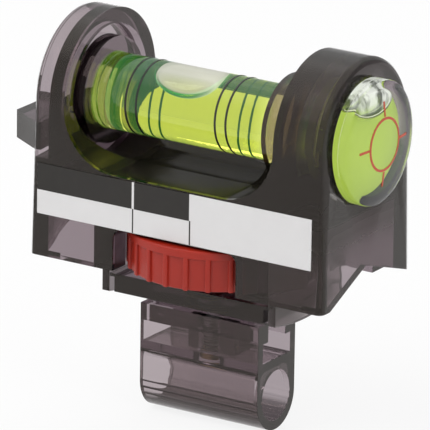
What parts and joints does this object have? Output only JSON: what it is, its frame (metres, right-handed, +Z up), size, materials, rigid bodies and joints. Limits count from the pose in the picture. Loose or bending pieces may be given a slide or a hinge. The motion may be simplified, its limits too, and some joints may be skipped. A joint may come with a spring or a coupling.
{
  "type": "drill mounted level",
  "caption": "Smoke clear body with a tube vial between round topped ends, a round end vial, a thumbwheel clamp screw and a grooved loop that grips a thin rod.",
  "frame": {"origin": "centre of the rod hole, halfway along the clamp loop", "axes": "+X along the rod and both vials, towards the round vial; -Y is the front with the label; +Z is up"},
  "size_m": [0.0606, 0.028, 0.0611],
  "materials": {
    "body_plastic": "smooth, see-through smoke tint",
    "plate_plastic": "smooth, see-through smoke tint",
    "loop_plastic": "smooth, see-through smoke tint",
    "brass_metal": "turned",
    "wheel_plastic": "moulded, satin",
    "steel_metal": "bright plated",
    "vial_plastic": "polished, clear",
    "line_paint": "printed",
    "tube_fluid": "clear yellow-green liquid",
    "round_fluid": "clear yellow-green liquid",
    "bubble_air": "air bubble",
    "target_paint": "printed",
    "label_film": "plain printed film"
  },
  "bodies": {
    "level": {"housing": "body_plastic", "base_plate": "plate_plastic", "plate_nut": "brass_metal", "clamp_loop": "loop_plastic", "tube_barrel": "vial_plastic", "tube_cap": "vial_plastic", "tube_lines": "line_paint", "tube_liquid": "tube_fluid", "round_cup": "vial_plastic", "round_lens": "vial_plastic", "round_target": "target_paint", "round_liquid": "round_fluid", "label": "label_film"},
    "pad": {"press_pad": "brass_metal"},
    "wheel": {"thumbwheel": "wheel_plastic", "wheel_pin": "steel_metal", "clamp_screw": "steel_metal"},
    "tube_air": {"tube_bubble": "bubble_air"},
    "round_air": {"round_bubble": "bubble_air"}
  },
  "joints": [
    {"name": "pad_slide", "type": "slide", "parent": "level", "child": "pad", "axis": [0, 0, 1], "range_m": [-0.00147, 0.00018]},
    {"name": "wheel_turn", "type": "hinge", "parent": "pad", "child": "wheel", "pos_m": [0, 0, 0.022], "axis": [0, 0, 1], "range_deg": [-668, 88]},
    {"name": "tube_bubble_slide", "type": "slide", "parent": "level", "child": "tube_air", "axis": [1, 0, 0], "range_m": [-0.0062, 0.0075], "stiffness_N_per_m": 2, "deforming": ["tube_liquid"]},
    {"name": "round_bubble_slide", "type": "slide", "parent": "level", "child": "round_air", "axis": [0, 0, -1], "range_m": [0, 0.0068], "stiffness_N_per_m": 5, "springref_m": -0.004, "deforming": ["round_liquid"]}
  ],
  "couplings": [
    {"joint": "wheel_turn", "follows": "pad_slide", "rad_per_m": 7854.2}
  ]
}
